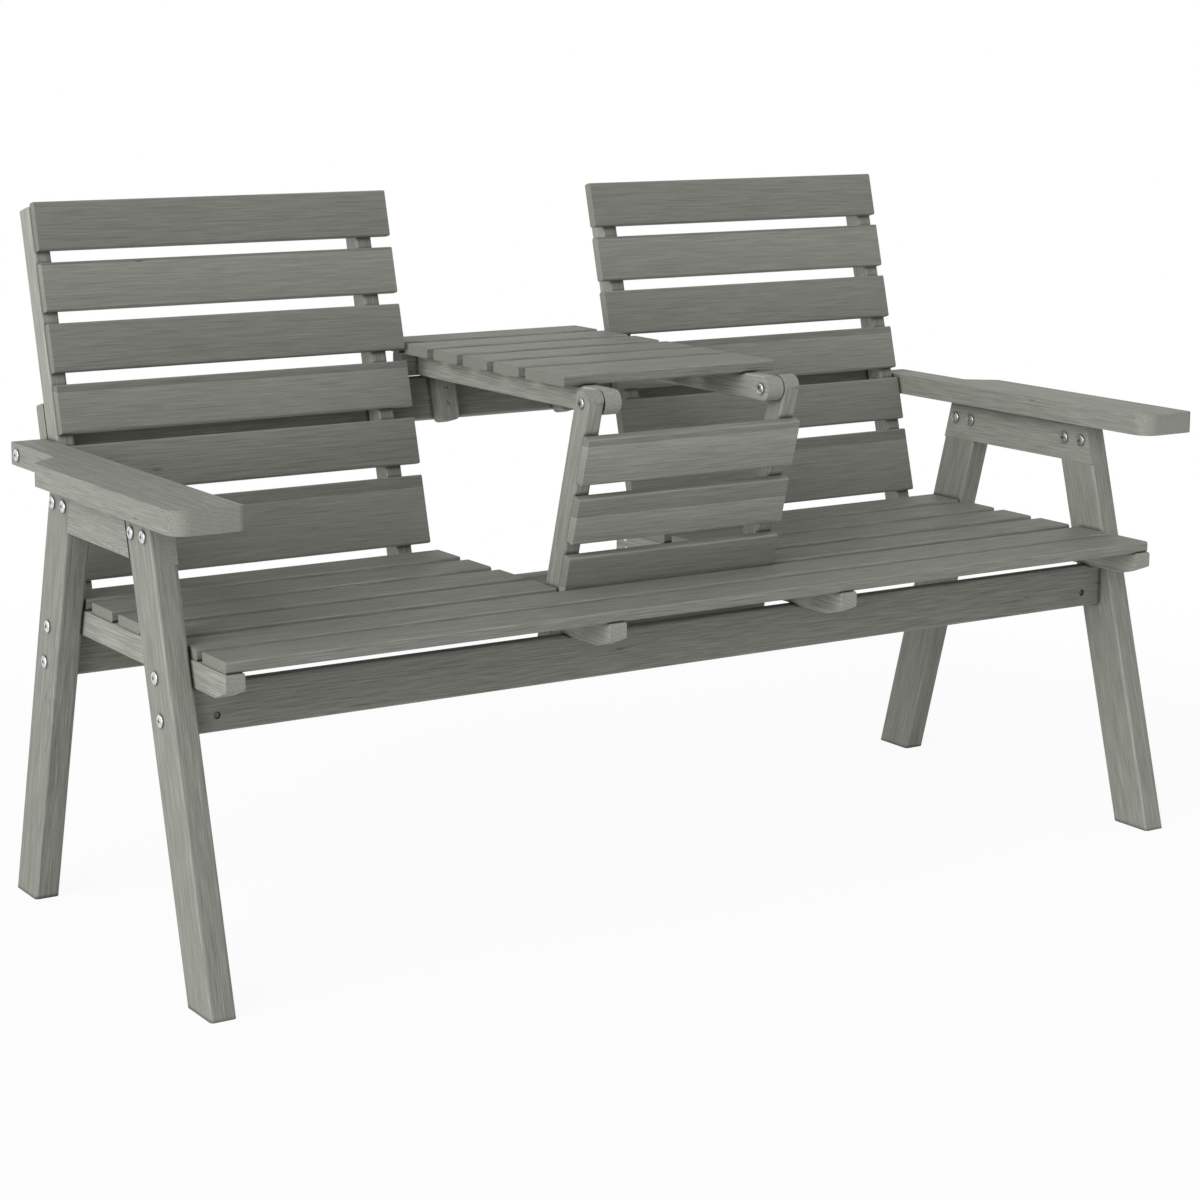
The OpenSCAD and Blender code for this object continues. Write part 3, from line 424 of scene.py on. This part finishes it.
def steel_material(name, level):
    """Zinc-plated steel, a little uneven, with painted shade in its recesses; level is how light
    it is.
    """
    material = bpy.data.materials.new(name)
    g = Graph(material)
    place = g.add("TexCoord").outputs["Object"]
    cloud = g.noise(place, scale=CLOUD_CELLS, detail=3, roughness=0.6)
    grit = g.noise(place, scale=GRIT_CELLS)
    tones = (grey(STEEL_DARK * level), grey(STEEL_LIGHT * level))
    colour = g.ramp(cloud, zip(CLOUD_RANGE, tones))
    # Painted shade in the steel's recesses
    painted_shade = g.remap(g.occlusion(STEEL_SHADE_REACH), STEEL_SHADE_RANGE, (0.0, STEEL_SHADE_SHARE))
    colour = g.blend(painted_shade, colour, STEEL_PAINTED_SHADE)
    rough = g.remap(cloud, CLOUD_RANGE, STEEL_ROUGHNESS)
    bump = g.add("Bump", {"Height": grit, **STEEL_RELIEF}).outputs[0]
    shader = g.add("BsdfPrincipled", {"Base Color": colour, "Roughness": rough, "Normal": bump,
                                      "Metallic": 1.0})
    g.add("OutputMaterial", {"Surface": shader.outputs[0]})
    return material


def smoothing_group():
    """Geometry nodes that smooth a mesh and keep its edges sharp above an angle."""
    group = bpy.data.node_groups.new("smooth_by_edge_angle", "GeometryNodeTree")
    group.interface.new_socket("Geometry", in_out="INPUT", socket_type="NodeSocketGeometry")
    group.interface.new_socket("Geometry", in_out="OUTPUT", socket_type="NodeSocketGeometry")
    new, link = group.nodes.new, group.links.new
    start, end = new("NodeGroupInput"), new("NodeGroupOutput")
    clear = new("GeometryNodeRemoveAttribute")
    clear.inputs["Name"].default_value = "custom_normal"
    smooth = new("GeometryNodeSetShadeSmooth")
    smooth.domain = "FACE"
    crisp = new("GeometryNodeSetShadeSmooth")
    crisp.domain = "EDGE"
    crisp.inputs["Shade Smooth"].default_value = False
    angle = new("GeometryNodeInputMeshEdgeAngle")
    sharp = new("FunctionNodeCompare")
    sharp.operation = "GREATER_THAN"
    sharp.inputs[1].default_value = EASE_ANGLE
    link(start.outputs[0], clear.inputs["Geometry"])
    link(clear.outputs[0], smooth.inputs["Geometry"])
    link(smooth.outputs[0], crisp.inputs["Geometry"])
    link(angle.outputs["Unsigned Angle"], sharp.inputs[0])
    link(sharp.outputs[0], crisp.inputs["Selection"])
    link(crisp.outputs[0], end.inputs[0])
    return group


def ease_edges(node, smoothing):
    """Breaks a board's sharp edges slightly, as sanding does, and keeps its flat faces flat."""
    weld = node.modifiers.new("weld", "WELD")
    weld.merge_threshold = WELD_DISTANCE
    flat = node.modifiers.new("flat", "DECIMATE")
    flat.decimate_type = "DISSOLVE"
    flat.angle_limit = FLAT_ANGLE
    ease = node.modifiers.new("ease", "BEVEL")
    ease.width = EASE_WIDTH
    ease.segments = EASE_SEGMENTS
    ease.limit_method = "ANGLE"
    ease.angle_limit = EASE_ANGLE
    node.modifiers.new("smooth", "NODES").node_group = smoothing
    even = node.modifiers.new("even", "WEIGHTED_NORMAL")
    even.keep_sharp = True


def dress_boards():
    """Gives every board its material and its eased edges."""
    smoothing = smoothing_group()
    for name, (*look, members) in WOODS.items():
        material = board_material(name, *look)
        for member in members:
            nodes[member].material_slots[0].material = material
            ease_edges(nodes[member], smoothing)


def dress_fasteners():
    """Gives bolts, nuts and screws their steel, and the dowels their wood."""
    steel = steel_material("zinc_plated", STEEL_LEVEL)
    # The barrel nuts get a much darker copy of the steel, painted shade for their place in the
    # bores
    shaded_steel = steel_material("zinc_painted_shade", SHADED_STEEL_LEVEL)
    dowel_wood = board_material("wood_dowels", *DOWEL_LOOK)
    for name, node in nodes.items():
        slot = node.material_slots[0]
        if slot.material.name.startswith("zinc_steel"):
            slot.material = shaded_steel if name == "barrel_nuts" else steel
        elif slot.material.name.startswith("bare_wood"):
            slot.material = dowel_wood


def seen_directly(g):
    """1 for the camera's own rays and those it sees in metal, which meet a white background."""
    path = g.add("LightPath").outputs
    direct = g.math("MAXIMUM", path["Is Camera Ray"], path["Is Glossy Ray"])
    return g.math("MAXIMUM", direct, path["Is Transmission Ray"])


def floor_material():
    """Pale floor that keeps the bench's shadow and runs out into the white background."""
    material = bpy.data.materials.new("pale_floor")
    g = Graph(material)
    place = g.add("TexCoord").outputs["Object"]
    distance = g.add("VectorMath", {0: place}, operation="LENGTH").outputs["Value"]
    away = g.remap(distance, FADE_RANGE, (FADE_SHARE, 0.0), smooth=True)
    grain = g.noise(place, scale=FLOOR_CELLS, detail=3)
    tones = g.ramp(grain, zip(FLOOR_RANGE, (FLOOR_DARK, FLOOR_LIGHT)))
    plain = g.add("BsdfDiffuse", {"Color": tones})
    pale = g.add("BsdfDiffuse", {"Color": FLOOR_SEEN})
    white = g.add("Emission", {"Color": WHITE, "Strength": 1.0})
    seen = g.add("MixShader", {0: away, 1: white.outputs[0], 2: pale.outputs[0]})
    mixed = g.add("MixShader", {0: seen_directly(g), 1: plain.outputs[0], 2: seen.outputs[0]})
    g.add("OutputMaterial", {"Surface": mixed.outputs[0]})
    return material


def make_floor():
    """The studio floor, which isn't part of the object."""
    bpy.ops.mesh.primitive_circle_add(vertices=FLOOR_SIDES, radius=FLOOR_RADIUS,
                                      fill_type="NGON", location=(0, 0, 0))
    floor = bpy.context.object
    floor.name = "studio_floor"
    floor.data.materials.append(floor_material())


def make_world():
    """Even light from all round, seen as white."""
    world = bpy.data.worlds.new("studio")
    scene.world = world
    g = Graph(world)
    soft = g.add("Background", {"Color": WHITE, "Strength": WORLD_LIGHT})
    white = g.add("Background", {"Color": WHITE, "Strength": 1.0})
    sky = g.add("MixShader", {0: seen_directly(g), 1: soft.outputs[0], 2: white.outputs[0]})
    g.add("OutputWorld", {"Surface": sky.outputs[0]})


def make_key_light():
    """A wide soft light from the left."""
    lamp = bpy.data.lights.new("key_left", "SUN")
    lamp.energy = KEY_STRENGTH * math.pi
    lamp.angle = KEY_ANGLE
    holder = bpy.data.objects.new("key_left", lamp)
    holder.rotation_euler = Vector(KEY_TOWARD).to_track_quat("Z", "Y").to_euler()
    holder.location = Vector(KEY_TOWARD).normalized() * KEY_DISTANCE
    scene.collection.objects.link(holder)


def make_camera():
    """The camera, fitted to the photo's lines."""
    data = bpy.data.cameras.new("photo_camera")
    data.sensor_width = CAMERA_SENSOR
    data.lens = CAMERA_LENS
    data.shift_x, data.shift_y = CAMERA_SHIFT
    camera = bpy.data.objects.new("photo_camera", data)
    heading = Matrix.Rotation(-CAMERA_YAW, 4, "Z")
    tilt = Matrix.Rotation(math.pi / 2 - CAMERA_PITCH, 4, "X")
    roll = Matrix.Rotation(CAMERA_ROLL, 4, "Z")
    camera.matrix_world = Matrix.Translation(CAMERA_PLACE) @ heading @ tilt @ roll
    scene.collection.objects.link(camera)
    scene.camera = camera


dress_boards()
dress_fasteners()
make_floor()
make_world()
make_key_light()
make_camera()
scene.view_settings.view_transform = "Standard"
